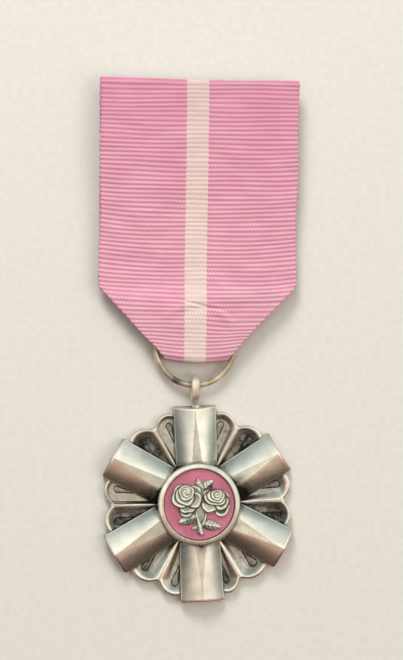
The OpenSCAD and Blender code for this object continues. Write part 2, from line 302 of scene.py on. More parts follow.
def tape_path():
    """The tape's middle line in side view: its length so far, its y and z, and its half width.

    Back: z eases from the hem to the top. Top fold: a half circle. Front: z eases down to the
    lap, then up over the ring. Bottom fold: a squarish half oval. Tongue: flat, then up to the
    lap. The half width falls along the slanted edges to the tongue's at the bottom fold. The
    last value holds the lengths at which the front, the low fold and the tongue start and end."""
    back_low, back_high, tongue_z, step = 1.42, 2.72, 0.86, 0.05
    over_ring = front_height(fold_y)
    top_r = (front_height(top_y) - back_high) / 2
    low_r = (over_ring - under_ring_z) / 2
    turn = np.linspace(0, np.pi, 40)[1:-1]
    back = np.arange(hem_y, top_y - top_r, step)
    front = np.arange(top_y - top_r, fold_y + low_r, -step)
    tongue = np.arange(fold_y + low_r, tongue_y, step)
    y = np.concatenate([back, top_y - top_r + top_r * np.sin(turn), front,
                        fold_y + low_r - low_r * np.sin(turn) ** 0.6, tongue])
    z = np.concatenate([between(back_low, back_high, rise(back, 42, 24)),
                        back_high + top_r - top_r * np.cos(turn), front_height(front),
                        over_ring - low_r + low_r * signed_power(np.cos(turn), 0.6),
                        between(under_ring_z, tongue_z, rise(tongue, 36, 4.5))])
    start = len(back) + len(turn)
    low = start + len(front)
    slant = (tape_width / 2 - foot_half) / (corner_y - fold_y)
    half = np.full(len(y), tape_width / 2)
    half[start:] = np.clip(foot_half + (y[start:] - fold_y) * slant, 0, tape_width / 2)
    half[low + len(turn) // 2:] = foot_half
    length = np.concatenate([[0], np.cumsum(np.hypot(np.diff(y), np.diff(z)))])
    return length, y, z, half, length[[start, low, low + len(turn), -1]]


path_s, path_y, path_z, path_half, (front_s, low_s, tongue_s, tape_end) = tape_path()


def tape_rows(first, last, per_rib):
    """Places evenly along the tape, so many to each rib."""
    count = int(round((last - first) / rib_pitch * per_rib))
    return np.linspace(first, last, count, endpoint=False)


row_s = np.concatenate([tape_rows(0, front_s, 4), tape_rows(front_s, tongue_s, 8),
                        tape_rows(tongue_s, tape_end, 4), [tape_end]])
outer_u = np.linspace(-1, 1, 79)
inner_u = np.linspace(1, -1, 19)
round_a = np.radians([45, 90, 135])
loop_u = np.concatenate([outer_u, np.ones(3), inner_u, -np.ones(3)])
loop_a = np.concatenate([0 * outer_u, round_a, 0 * inner_u + np.pi, round_a + np.pi])


def tape_points():
    """Carries a flat cross-section with round edges along the path.

    Every row is shifted along the tape by a sag that is greatest in the middle of the tape, by
    a slope across it and by a pull at the right of the ring. The top fold is a little skew to
    the ribs, and the bottom fold is bowed. The right corner is folded higher than the left one.
    The tape is drawn in above the corners and bulges out above the left foot. A rib is the size
    of a sine to the power 1.5. It swells the thickness, less in the stripe, and steps the edges
    out in uneven loops. Over the ring the front rises, and above it runs in low waves."""
    s, u = np.meshgrid(row_s, loop_u, indexing="ij")
    on_front = rise(s, front_s - 1, 3) * rise(s, low_s, -6)
    near_top = rise(np.abs(s - front_s), 14, -14)
    near_ring = bell(s - low_s + 6.7, 3)
    across = u * np.interp(s, path_s, path_half)
    for _ in range(3):
        sag = 0.7 * rise(s, front_s, 30) * (1 - np.abs(across / (tape_width / 2)) ** 3.4)
        slope = -(0.003 + 0.012 * near_top) * across
        pull = 0.3 * near_ring * rise(across, 1, 5)
        skew = near_top * (0.36 * rise(across, 4, 14) - 0.0096 * across)
        along = s + on_front * (sag + slope + pull) + skew
        half = np.interp(along + right_corner_lift * (u > 0) * on_front, path_s, path_half)
        y = np.interp(along, path_s, path_y)
        waist = 0.2 * bell(y - 50, 10)
        bulge = 0.3 * (u < 0) * bell(y - 28.8, 2) * on_front
        across = u * (half - waist + bulge - tape_t / 2)
    run, climb = (np.interp(along, path_s, np.gradient(line, path_s)) for line in (path_y, path_z))
    place = s + 0.08 * np.sin(0.83 * s + 0.19 * across) + 0.04 * np.sin(0.31 * s - 0.4 * across)
    rib = np.abs(np.sin(np.pi * place / rib_pitch)) ** 1.5
    firm = 1 - 0.36 * rise(np.abs(across - stripe_x), stripe_width / 2 + 0.3, -0.6)
    lift = np.cos(loop_a) * (tape_t / 2 + rib_height * firm * (rib - 0.5)) / np.hypot(run, climb)
    from_fold = np.abs(s - (low_s + tongue_s) / 2)
    foot_share = np.abs(across / foot_half)
    y = y + skew - 0.5 * rise(from_fold, 9, -9) * (1 - np.minimum(foot_share ** 2, 1.8))
    y = y + 0.22 * rise(from_fold, 4, -4) * np.minimum(foot_share, 1)
    loop = 0.22 * (rib - 0.5) * (0.7 + 0.5 * np.sin(2.4 * np.floor(place / rib_pitch) + u))
    loop = loop + 0.06 * np.sin(4.3 * s + 2 * u) * np.sin(0.37 * s + u)
    loop = loop * (0.4 + 0.6 * rise(half, tape_width / 2 - 1))
    x = across + np.sin(loop_a) * (tape_t / 2 + loop)
    x = x + 0.08 * np.sin(0.35 * s + 2 * (u > 0)) * np.abs(u) ** 3
    above_ring = rise(y, 40, 5)
    y = y + lift * climb
    waves = 0.07 * np.sin(0.31 * x + 0.6) * np.sin(0.21 * y) * above_ring
    z = np.interp(along, path_s, path_z) - lift * run
    z = z + on_front * (ring_ridge(x + tape_x, y) + waves)
    return np.stack([x, y, z], -1), place, across


def ring_ridge(x, y):
    """Height that the ring gives the cloth.

    A bell across the ring's wire, strongest at its top and right, a swelling above it on the
    right, and two creases below the swelling, where the cloth bends over the wire."""
    dx, dy = x - ring_middle[0], y - ring_middle[1]
    r = np.hypot(dx, dy)
    top = rise(dy / np.maximum(r, 0.1), 0.35, 0.5)
    wire = (0.26 + 0.08 * dx / ring_radius) * bell(r - ring_radius, 0.75)
    inside = 0.10 * rise(r, ring_radius, -2.5)
    swelling = 0.27 * bell(y - 37, 1) * rise(x, -1, 3) * rise(x, 11, -3)
    crease = 0.34 * bell(y - 35.6 + 0.22 * x, 0.35) * rise(x, -4, 3) * rise(x, 6, -3)
    crease = crease + 0.18 * bell(y - 34.9 + 0.1 * x, 0.3) * rise(np.abs(x), 3, -2)
    return top * (wire + inside) + swelling - crease


def spin(x, y, degrees):
    """Turns points anticlockwise round the origin."""
    c, s = np.cos(np.radians(degrees)), np.sin(np.radians(degrees))
    return x * c - y * s, x * s + y * c


def lay_tape(points):
    """Turns the tape by its lean about the bottom fold and moves it to its place."""
    x, y = spin(points[..., 0], points[..., 1] - fold_y, -lean_deg)
    return np.stack([x + tape_x, y + fold_y, points[..., 2]], -1)


def grid_faces(rows, cols, closed=False):
    """Quads of a grid whose last column joins its first; closed joins the last row too."""
    here = np.arange(rows if closed else rows - 1)[:, None] * cols
    there = (here + cols) % (rows * cols)
    j = np.arange(cols)
    k = (j + 1) % cols
    return np.stack([here + j, here + k, there + k, there + j], -1).reshape(-1, 4)


def end_caps(rows, cols):
    """The open ends of such a grid as two faces that look away from each other."""
    first = list(range(cols))
    return [first[::-1], [(rows - 1) * cols + j for j in first]]


def mesh_piece(name, points_mm, quads, caps=()):
    """Makes an object from points in millimetres, an array of quads and a few larger faces."""
    mesh = bpy.data.meshes.new(name)
    vertices = np.asarray(points_mm).reshape(-1, 3) * MM
    mesh.from_pydata(vertices, [], quads.tolist() + list(caps), shade_flat=False)
    mesh.validate()
    piece = bpy.data.objects.new(name, mesh)
    scene.collection.objects.link(piece)
    return piece


def note(piece, name, values):
    """Stores one number for each point of a piece, for its material to read."""
    data = piece.data.attributes.new(name, "FLOAT", "POINT")
    data.data.foreach_set("value", np.asarray(values, np.float32).reshape(-1))


def read_note(tree, name):
    """The numbers that note stored."""
    return add_node(tree, "Attribute", {}, "Fac", attribute_name=name)


points, along, across = tape_points()
rows, cols = points.shape[:2]
ribbon = mesh_piece("ribbon_tape", lay_tape(points), grid_faces(rows, cols), end_caps(rows, cols))
note(ribbon, "along", along)
note(ribbon, "across", across)
# Painted sheen over the ring's top at the right, where the cloth faces the light: the rib crests
# there are painted paler and the rest a little darker.
note(ribbon, "sheen_patch", rise(points[..., 0], 1.5, 3) * rise(points[..., 0], 17, -3)
     * bell(points[..., 1] - 37.9, 1.5))

cloth, tree, shader = start_finish("ribbon_weave", (0.80, 0.36, 0.46), rough=0.78, specular=0.25)
along_s, across_s, sheen_patch = (read_note(tree, name) for name in ("along", "across", "sheen_patch"))
cloth_place = add_node(tree, "CombineXYZ", {"X": across_s, "Y": along_s})
dye = noise(tree, 0.35, 3, cloth_place, (0.35, 1, 1))
streak = noise(tree, 1.0, 2, cloth_place, (0.12, 2.4, 1))
fleck = noise(tree, 4.0, 2, cloth_place, (1.2, 1, 1))
rib_no = along_s / rib_pitch
rib_wave = abs(calc("SINE", rib_no * math.pi)) ** 1.5
thread_no = across_s / thread_pitch + calc("FLOOR", rib_no) * 0.5
thread_wave = abs(calc("SINE", thread_no * math.pi))
ragged_x = across_s - stripe_x + (fleck - 0.5) * 0.35
in_stripe = clamp((stripe_width / 2 - abs(ragged_x)) * 14 + 0.5)
below_top = clamp((along_s - front_s) / tone_down_tape_length)
pink = ramp(dye, [(0.3, (0.614, 0.308, 0.416)), (0.7, (0.668, 0.373, 0.481))])
pale = ramp(dye, [(0.3, (0.602, 0.468, 0.446)), (0.7, (0.646, 0.528, 0.506))])
# The colour changes down the front: darker and pinker just below the top fold, even in the middle,
# a little darker and less red towards the bottom.
tone_down_tape = ramp(below_top, [(0.0, (0.91, 0.86, 0.89)), (0.5, 1.0), (0.76, 1.0),
                          (0.95, (0.94, 0.965, 0.94))])
# The rib crests turn a paler, whitish pink: painted sheen in the patch over the ring, and more and
# more towards the bottom.
crest_sheen_and_paling = (sheen_patch * 0.38 + below_top * 0.28) * clamp(rib_wave * 1.5 - 0.5)
yarn = blend(crest_sheen_and_paling, product(blend(in_stripe, pink, pale), tone_down_tape), (0.71, 0.56, 0.61))
# Painted shade: the hollows between ribs darker and deeper pink; in the stripe a little lighter
# instead.
valley_shade = blend(in_stripe, (0.85, 0.60, 0.67), (1.09, 1.05, 1.05))
yarn = product(yarn, blend(rib_wave, valley_shade, (1, 1, 1)))
uneven = ramp(noise(tree, 0.5, 2, cloth_place, (0.5, 1, 1)), [(0.35, 0.05), (0.65, 0.2)])
uneven = uneven * (1 - in_stripe * 0.25) * (below_top * 0.9 + 0.65)
# Painted light: each thread lighter along its middle and darker at its sides, by an uneven amount,
# times lengthwise streaks; all of it dimmer in the painted sheen patch.
lit = ((thread_wave - 0.36) * uneven + 0.95) * (streak * 0.32 + 0.84) - sheen_patch * 0.12
plug(shader, {"Base Color": product(yarn, lit), "Sheen Weight": 0.15, "Sheen Roughness": 0.4,
              "Sheen Tint": (1.0, 0.86, 0.88)})
roughen(shader, thread_wave * 0.35 + fleck * 0.6, 0.55, 0.00006)
ribbon.data.materials.append(cloth)
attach(ribbon, "root")
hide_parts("ribbon")


# The slanted lower edges are folds: behind each lies the corner of the tape, turned in flat
# under the front layer. Each corner is a triangle of the same tape.
flap_inset = 0.3
flap_gap = 0.07
off_stripe = 30


def corner_flap(side):
    """A triangle of tape, mirrored in the slanted edge, as a closed plate under the front layer.

    Rows run from the outer corner down the slanted edge, columns from that edge inwards to the
    turned-in selvedge; both faces carry the ribs."""
    lift = right_corner_lift if side > 0 else 0
    half = tape_width / 2 - flap_inset
    top = np.array([half, corner_y + lift - flap_inset / 2])
    foot = np.array([foot_half - flap_inset, fold_y + lift + flap_inset / 2])
    edge_dir = (foot - top) / np.linalg.norm(foot - top)
    rel = np.array([half, fold_y]) - top
    tip = top + 2 * edge_dir * (rel @ edge_dir) - rel
    f = np.linspace(0.02, 1, 60)[:, None, None]
    g = np.linspace(0, 1, 24)[None, :, None]
    plate = top + f * (between(foot, tip, g) - top)
    z_mid = front_height(plate[..., 1]) - tape_t - flap_gap
    half_t = tape_t / 2 + 0.02 * np.sin(2 * np.pi * (plate @ edge_dir) / rib_pitch)
    over, under = (np.concatenate([plate * (side, 1), (z_mid + t)[..., None]], -1)
                   for t in (half_t, -half_t))
    return np.concatenate([over, under[:, ::-1]], 1)


flap_points, flap_quads = [], []
for side in (-1, 1):
    shell = corner_flap(side)
    rows, cols = shell.shape[:2]
    strip = np.arange(cols // 2 - 1)
    end = np.stack([strip, cols - 1 - strip, cols - 2 - strip, strip + 1], 1)
    quads = np.concatenate([grid_faces(rows, cols), end[:, ::-1], end + (rows - 1) * cols])
    flap_quads.append((quads[:, ::-1] if side < 0 else quads) + len(flap_points) * rows * cols)
    flap_points.append(shell.reshape(-1, 3))
flat_place = np.concatenate(flap_points)
flaps = mesh_piece("ribbon_corners", lay_tape(flat_place), np.concatenate(flap_quads))
note(flaps, "along", flat_place[:, 1])
note(flaps, "across", flat_place[:, 0] + off_stripe)
flaps.data.materials.append(cloth)
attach(flaps, "root")
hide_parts("ribbon")


# The brooch pin is a nickel-plated steel plate with a pin between two posts, sewn behind the
# ribbon's top. The photograph hides it, so it stays the plain piece of the construction.
nickel, tree, shader = start_finish("nickel_plate", (0.55, 0.54, 0.52), metal=1.0, rough=0.34)
wear = noise(tree, 700, 4)
plug(shader, {"Base Color": ramp(wear, [(0.35, (0.50, 0.48, 0.45)), (0.7, (0.62, 0.61, 0.59))]),
              "Roughness": ramp(wear, [(0.3, 0.26), (0.75, 0.46)])})
roughen(shader, noise(tree, 2500, 2, stretch=(1, 9, 1)), 0.15, 0.00003)
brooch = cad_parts["brooch_pin"]
brooch.data.materials.clear()
brooch.data.materials.append(nickel)


# The suspension ring is drawn wire, bent round and closed with a soldered joint. It lies
# in the fold of the tape and through the star's eyelet, and has gone brown in places.
wire_half = 0.525
ring_z = 1.65
ring_grid = (240, 28)


def circle(count):
    """So many angles in radians, evenly round a full circle from 0."""
    return np.linspace(0, 2 * np.pi, count, endpoint=False)


def polar(r, t, z):
    """Points at radius r and angle t round the medal's axis, at height z."""
    return np.stack(np.broadcast_arrays(r * np.cos(t), r * np.sin(t), z), -1)


def bent_wire(turns, sides):
    """A round wire on a circle, a little uneven in radius and in thickness, as bent by hand."""
    t = circle(turns)[:, None]
    p = circle(sides)
    out = ring_radius + 0.06 * np.cos(t) + 0.04 * np.sin(3 * t + 0.4) + 0.03 * np.sin(5 * t)
    thick = wire_half * (1 - 0.03 * np.cos(2 * t) - 0.02 * np.sin(7 * t))
    return polar(out + thick * np.cos(p), t, ring_z + thick * np.sin(p)) + (*ring_middle, 0)


ring = mesh_piece("suspension_ring", bent_wire(*ring_grid),
                  grid_faces(*ring_grid, closed=True)[:, ::-1])


def silver_finish(name, bright, dull_and_shade, rough, wear_scale, metal=1.0, oxide_and_shade=False, tint=False):
    """Silvered metal: bright where polished, warm and darker where not.

    With the first flag, the piece's note of the same name blackens it, as patina in hollows and as
    painted shade.
    With tint, its note of that name makes it coppery above 0 and grey below; the grey is painted
    shade."""
    finish, tree, shader = start_finish(name, bright, metal, rough)
    stain_and_shade = noise(tree, wear_scale, 5)
    colour = ramp(stain_and_shade, [(0.36, dull_and_shade), (0.62, bright)])
    rough_map = noise(tree, 2600) * 0.16 + (rough - 0.07)
    if tint:
        warmth = read_note(tree, "tint")
        colour = blend(clamp(warmth * (stain_and_shade + 0.35)), colour, (0.94, 0.66, 0.55))
        colour = blend(clamp(warmth * -1), colour, (0.40, 0.42, 0.41))
    if oxide_and_shade:
        blotch = noise(tree, 420, 4) * 0.8 + 0.57
        speck = noise(tree, 1500, 4) * 0.36 - 0.18
        pits = ramp(noise(tree, 1500, 2), [(0.68, 0.0), (0.82, 0.18)])
        amount = clamp(read_note(tree, "oxide_and_shade") * blotch + (speck + pits))
        black = ramp(amount, [(0.18, 0.0), (0.85, 1.0)])
        colour = blend(black, colour, (0.035, 0.028, 0.024))
        rough_map = rough_map + black * 0.3
    plug(shader, {"Base Color": colour, "Roughness": rough_map})
    roughen(shader, noise(tree, 1400), 0.10, 0.00006)
    return finish


wire_deg = np.repeat(np.degrees(circle(ring_grid[0])), ring_grid[1])
note(ring, "oxide_and_shade", 0.03 + 0.72 * bell(wire_deg - 242, 11) + 0.24 * bell(wire_deg - 325, 14))
wire_silver = silver_finish("tarnished_wire", (0.74, 0.635, 0.49), (0.41, 0.33, 0.25), 0.42, 420,
                            metal=0.65, oxide_and_shade=True)
ring.data.materials.append(wire_silver)
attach(ring, "root")
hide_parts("ring")


# The rosette is the struck plate under the arms: six pairs of petals, each with a rolled lip
# that turns in at the notch to a ridge, and with a small drop cut in its hollow.
star_turn = 1.9
arm_count = 6
sector = 360 / arm_count
seat_r = 7.45
arm_half_in = 3.68
arm_half_out = 3.9
arm_end = 17.6
arm_tuck = 0.2
petal_top_r = 17.1
petal_round = 2.85
petal_deg = 19.0
petal_mid_r = petal_top_r - petal_round
cusp_r = 15.72
wall_round = 0.24
lip_crest = 0.45
lip_top = 1.5
hollow_z = 0.58

# How far each arm, and each ridge in the gap after it, is off its even place, in degrees, and
# how much painted shade darkens the two petals in each gap, and how far their lips slope inwards
# in mm.
arm_off = np.array([0.15, -0.6, -0.9, 0.8, 0.3, 0.2])
ridge_off = np.array([-1.3, -1.2, 0.6, -1.9, 0.2, 0.9])
petal_shading = np.array([(0.05, 0.60), (0.02, 0.52), (0.36, 0.16), (0.38, 0.30), (0.66, 0.20),
                        (0.52, 0.20)])
petal_slope = np.array([(0.7, 1.8), (0.8, 1.8), (2.1, 2.1), (1.9, 1.9), (1.8, 2.1), (1.8, 1.2)])


def arm_half(s):
    """Half the width of an arm, growing evenly from the medallion to the outer end."""
    return between(arm_half_in, arm_half_out, (s - seat_r) / (arm_end - seat_r))


def petal_edge(a):
    """Radius of the petals' edge: the circle of a petal's round top, softly joined at the notch.

    a is the angle in degrees from the nearest arm. The join is a soft maximum of the circle and
    the notch's radius, so that the notch between two petals is rounded."""
    d = np.radians(a - petal_deg)
    root = petal_round ** 2 - (petal_mid_r * np.sin(d)) ** 2
    circle_r = petal_mid_r * np.cos(d) + np.sqrt(np.maximum(root, 0))
    sharp = 7.0
    return cusp_r + np.log1p(np.exp((circle_r - cusp_r) * sharp)) / sharp


def off_line(x, y, start, end):
    """How far along a straight line each point lies, 0 to 1, and its distance from the line."""
    (ax, ay), (bx, by) = start, end
    span = (bx - ax) ** 2 + (by - ay) ** 2
    share = np.clip(((x - ax) * (bx - ax) + (y - ay) * (by - ay)) / span, 0, 1)
    return share, np.hypot(x - between(ax, bx, share), y - between(ay, by, share))


def drop_depth(r, a):
    """How far a point is inside the drop's outline: a line of discs that grow outwards."""
    inner, outer, big, small, drop_deg = 11.9, 15.25, 0.62, 0.10, 18.6
    share, off = off_line(*spin(r, 0, a - drop_deg), (inner, 0), (outer - big, 0))
    return between(small, big, share) - off


def petal_depth(r, a):
    """How far a point is inside a petal, less the lip's width there, and its place outwards.

    A petal is a line of discs, which grow from a point by the medallion to its round top. The
    lip widens past the middle of the last disc."""
    root_r, root_deg, root_round = 7.7, 27.6, 0.25
    start, end = spin(root_r, 0, root_deg), spin(petal_mid_r, 0, petal_deg)
    x, y = spin(r, 0, a)
    share, off = off_line(x, y, start, end)
    way = np.subtract(end, start)
    past = ((x - end[0]) * way[0] + (y - end[1]) * way[1]) / np.hypot(*way)
    lip = between(0.04, 0.16, share) + (lip_crest - 0.16) * rise(past, 0, 2)
    return between(root_round, petal_round, share) - off - lip, share


def petal_relief(r, a, edge, slope):
    """Height of the petals' ground, how dark it is with patina and painted shadow, and how warm
    its lips are.

    From the lip's crest the ground rolls off outwards as a square, and inwards it eases into
    the hollow, over a shorter way nearer the medallion. The drop is a low cushion inside a
    fine groove. Grooves and low hollows are dark with patina, and the arm feet and the gap's
    inner end with painted shadow."""
    inside, share = petal_depth(r, a)
    fall = 1 - rise(inside, -0.12, between(0.75, slope, share))
    top = between(1.15, lip_top, rise(r, seat_r + 1, 6))
    z = between(hollow_z, top, fall)
    z = z - 0.34 * np.clip(1 - (edge - r) / (lip_crest + 0.1), 0, 1.2) ** 2
    depth = drop_depth(r, a)
    groove = bell(depth + 0.02, 0.10)
    z = z - 0.10 * groove + 0.05 * rise(depth, 0, 0.45)
    off_arm = r * np.sin(np.radians(a)) - arm_half(r)
    low = np.clip((0.95 - z) / 0.35, 0, 1)
    dark = np.maximum(1.15 * groove, 0.75 * bell(np.maximum(off_arm, 0), 0.28, 1.5))
    dark = np.maximum(dark, 0.40 * low + 0.19 * rise(depth, 0, 0.25))
    inner_end = bell(np.maximum(r - seat_r, 0), 2, 1.5) * (1 - 0.8 * fall ** 3)
    return z, np.maximum(dark, 0.95 * inner_end), 0.2 * fall ** 3


def gap_columns(gap_cols, under_cols):
    """The columns of the rosette: close together in the gaps, a few under each arm.

    Returns, for each column, the number of its arm, whether it lies in a gap, and its share
    of the way across that gap or arm. Columns crowd towards the middle ridge of each gap."""
    share = 0.5 + 0.5 * signed_power(np.linspace(-1, 1, gap_cols), 1.25)
    under = np.linspace(0, 1, under_cols + 2)[1:-1]
    arm = np.repeat(np.arange(arm_count), gap_cols + under_cols)
    in_gap = np.tile(np.arange(gap_cols + under_cols) < gap_cols, arm_count)
    return arm, in_gap, np.tile(np.r_[share, under], arm_count)


def sector_angle(side, share, in_gap):
    """Angle past an arm: across the gap after it, or under the next arm, whose side is given."""
    return np.where(in_gap, between(side, sector - side, share),
                    between(sector - side, sector + side, share))


def off_arm_angle(a):
    """Angle from the nearest arm, for an angle past the arm before."""
    return np.minimum(a % sector, sector - a % sector)


def rosette_points():
    """Rings of points from the seat over the petals and their lips to the flat back.

    The relief is worked out in even sectors. Each gap is then bent so that it meets its own
    two arms and its ridge lies a little off the middle."""
    arm, in_gap, share = gap_columns(96, 3)
    steps = np.concatenate([np.linspace(0, 0.88, 62), np.linspace(0.891, 1, 14)])[:, None]
    edge_side = np.degrees(np.arcsin((arm_half(16.3) - arm_tuck) / 16.5))
    edge_a = off_arm_angle(sector_angle(edge_side, share, in_gap))
    edge = np.where(in_gap, petal_edge(edge_a), petal_edge(edge_side))
    start = seat_r - 0.2
    r = between(start, edge - wall_round, steps)
    side = np.degrees(np.arcsin(np.clip((arm_half(r) - arm_tuck) / r, 0, 0.4999)))
    a = sector_angle(side, share, in_gap)
    near = off_arm_angle(a)
    side_no = (share > 0.5).astype(int)
    z, dark, warm = petal_relief(r, near, edge, petal_slope[arm, side_no])
    # Painted shade: each petal is darkened inside its lip by its own amount.
    stain_and_shade = petal_shading[arm, side_no]
    dark = dark + np.maximum(1 - dark, 0) * stain_and_shade * rise(petal_depth(r, near)[0], -0.05, 0.5)
    z = np.where(in_gap, z, hollow_z)
    bend = np.radians([22.5, 45, 67.5, 90])[:, None]
    r = np.vstack([r, edge - wall_round * (1 - np.sin(bend)),
                   edge - np.array([[0.02], [0.06], [0.22]]), 0 * edge + start])
    z = np.vstack([z, z[-1] - wall_round * (1 - np.cos(bend)),
                   0 * edge + np.array([[0.5], [0.16], [0], [0]])])
    a = np.vstack([a, np.repeat(a[-1:], 7, 0), a[:1]])
    dark = np.vstack([dark, np.zeros((8, len(edge)))])
    warm = np.vstack([warm, np.repeat(warm[-1:], 8, 0)])
    here, there = arm_off[arm], arm_off[(arm + 1) % arm_count]
    ridge = (ridge_off[arm] - (here + there) / 2) * np.sin(np.pi * share) ** 2
    bent = np.where(in_gap, between(here, there, share) + ridge, there)
    return polar(r, np.radians(90 + star_turn + arm * sector + a + bent), z), dark, warm


def cap_poles(points, top, bottom):
    """Adds a pole before the first and after the last ring of a closed grid, with its fans."""
    rows, cols = points.shape[:2]
    j = np.arange(cols)
    k = np.roll(j, -1)
    last = (rows - 1) * cols
    pole = np.full(cols, rows * cols)
    fans = np.vstack([np.stack([j, k, pole], 1), np.stack([last + k, last + j, pole + 1], 1)])
    return np.vstack([points.reshape(-1, 3), top, bottom]), fans.tolist()


points, dark, warm = rosette_points()
rows, cols = points.shape[:2]
flat, fans = cap_poles(points, (0, 0, hollow_z), (0, 0, 0))
rosette = mesh_piece("star_rosette", flat, grid_faces(rows, cols)[:, ::-1], fans)
note(rosette, "oxide_and_shade", np.r_[dark.reshape(-1), 0, 0])
note(rosette, "tint", np.r_[warm.reshape(-1), 0, 0])
struck_silver = silver_finish("struck_silver", (0.85, 0.83, 0.76), (0.70, 0.68, 0.61), 0.21,
                              340, oxide_and_shade=True, tint=True)
rosette.data.materials.append(struck_silver)
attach(rosette, "root")
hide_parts("star")


# The six arms are struck with the rosette: broad bars with arched flanks and a flat facet
# along the top that narrows to a point near the outer end, which is cut slightly hollow.
crest_in = 3.3
crest_out = 3.08
edge_high = 1.76
edge_fall = 0.12
edge_round = 0.13
facet_share = 0.9
bevel_out = np.array([0.42, 0.36, 0.2, 0.05, 0.0])
bevel_drop = np.array([0.01, 0.045, 0.085, 0.17])

# Columns: half the facet's share of the width, how hollow the end is in mm, how much painted
# shade darkens the arm by the medallion on one flank (below 0 on its other flank), how much
# painted shadow darkens its facet's foot, how much painted grey shade its left and right flanks
# get, seen from the medallion, and how much painted shade darkens its lower flank at each end
# and how much painted warm reflection it gets.
arm_rows = [
    (0.26, 0.44, 0.06, 0.24, 0.55, 0.25, 0, 0, 0), (0.31, -0.10, 0.22, 0.0, 0, 0, 0.40, 0.10, 0.3),
    (0.33, -0.08, 0.10, 0.15, 0, 0, 0.10, 0.40, 0.2), (0.26, 0.14, 0.08, 0.44, 0.3, 0, 0, 0, 0),
    (0.34, 0.02, -0.04, 0.22, 0.60, 0, 0.0, -0.20, 0.5),
    (0.32, 0.32, -0.28, 0.55, 0.35, 0, 0.44, 0.14, 0)]


def arm_top(s, v, facet):
    """Height of an arm's top at v, its share from the middle line to an edge.

    The crest falls evenly outwards. A flat facet narrows to nothing at nine tenths of the
    length, and beside it the flank falls away, ever steeper towards the edge."""
    q = np.clip((s - seat_r) / (arm_end - seat_r), 0, 1)
    flat = facet * np.clip(1 - q / facet_share, 0, 1) ** 1.1
    w = np.clip((v - flat) / (1 - flat), 0, 1)
    return between(edge_high - edge_fall * q, between(crest_in, crest_out, q),
                   1 - 0.4 * w - 0.6 * w ** 2)


def arm_points(facet, hollow):
    """One arm as rings of points round it, from under the medallion to its outer end.

    Each ring runs up one wall, round the edge, over the top and down the other wall. The last
    rings turn over the end's thin bevel. The end is hollowed as a parabola of the width, and
    its corners are rounded."""
    v = np.linspace(-1, 1, 65)
    bend = np.radians([0, 30, 60])
    s = np.concatenate([[seat_r - 0.9], np.linspace(seat_r - 0.3, arm_end - 0.6, 34),
                        arm_end - bevel_out])[:, None]
    half = arm_half(s)
    z_top = arm_top(s, np.abs(v), facet)
    left_y = -half + edge_round * (1 - np.cos(bend))
    left_z = z_top[:, :1] - edge_round * (1 - np.sin(bend))
    y = np.hstack([-half + 0.1, -half, left_y, v * (half - edge_round), -left_y[:, ::-1],
                   half, half - 0.1])
    z = np.hstack([0 * half, 0 * half + 0.1, left_z, z_top, left_z[:, ::-1],
                   0 * half + 0.1, 0 * half])
    z[-4:] -= bevel_drop[:, None] * (z[-4:] > 1)
    share = np.abs(y / half)
    corner = (0.34 - 0.6 * hollow) * np.clip((share - 0.9) / 0.1, 0, 1) ** 2
    cut = hollow * (1 - share ** 2) + corner
    return np.stack([s - cut * rise(s, 12, 5), y, z], -1)


def arm_darkness(s, y, z, stain_and_shade, foot):
    """How dark an arm is, all painted shade: low on its walls, close to the medallion as the rim's
    shadow, in a patch on one flank and at the facet's foot there, and faintly towards its edges."""
    near = np.maximum(s - seat_r, 0)
    seat = 0.30 * bell(near, 0.22, 1.5) + 0.12 * bell(near, 2.2)
    patch = abs(stain_and_shade) * bell(near, 4.2) * rise(y * math.copysign(1, stain_and_shade), -1, 2)
    patch = patch + foot * bell(near, 1.8) * bell(y, 1.1)
    flank = seat + 0.10 * (np.abs(y) / arm_half(s)) ** 4 + patch
    return np.maximum(0.6 * rise(z, 1.5, -0.5), flank)


arm_all, arm_quads, arm_caps, arm_dark, arm_tint = [], [], [], [], []
for k, row in enumerate(arm_rows):
    facet, hollow, stain_and_shade, foot, left_flank_shade, right_flank_shade, low_in, low_out, painted_warmth = row
    s, y, z = np.moveaxis(arm_points(facet, hollow), -1, 0)
    turn = 90 + star_turn + k * sector + arm_off[k]
    end_mid = (*spin(arm_end - hollow, 0, turn), 1.2)
    arm_all.append(np.vstack([np.stack([*spin(s, y, turn), z], -1).reshape(-1, 3), end_mid]))
    # Painted shade and painted warm reflection on the flank that faces towards -y, and painted
    # grey shade on each flank, less near the medallion and none along the middle.
    low_side = rise(-math.cos(math.radians(turn)) * y, 0.4)
    low_flank_shade = between(low_in, low_out, rise(s, 8, 9)) * low_side
    dull_and_shade = np.where(y > 0, left_flank_shade, right_flank_shade) * rise(np.abs(y), 0, 0.8)
    dull_and_shade = dull_and_shade * between(0.25, 1, rise(s, seat_r, 8))
    # Painted highlight: the bevel at the end is made coppery.
    dull_and_shade[-4:] = -0.5
    arm_tint.append(np.r_[(painted_warmth * low_side - dull_and_shade).reshape(-1), 0])
    arm_dark.append(np.r_[(arm_darkness(s, y, z, stain_and_shade, foot) + low_flank_shade).reshape(-1), 0.3])
    rows, cols = s.shape
    base = k * (s.size + 1)
    first = base + np.arange(cols)
    last = first + (rows - 1) * cols
    arm_quads.append(grid_faces(rows, cols)[:, ::-1] + base)
    arm_caps.append(first.tolist())
    arm_caps += np.stack([0 * last + base + s.size, np.roll(last, -1), last], 1).tolist()
arms = mesh_piece("star_arms", np.concatenate(arm_all), np.concatenate(arm_quads), arm_caps)
note(arms, "oxide_and_shade", np.concatenate(arm_dark))
note(arms, "tint", np.concatenate(arm_tint))
arms.data.materials.append(struck_silver)
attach(arms, "root")
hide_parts("star")


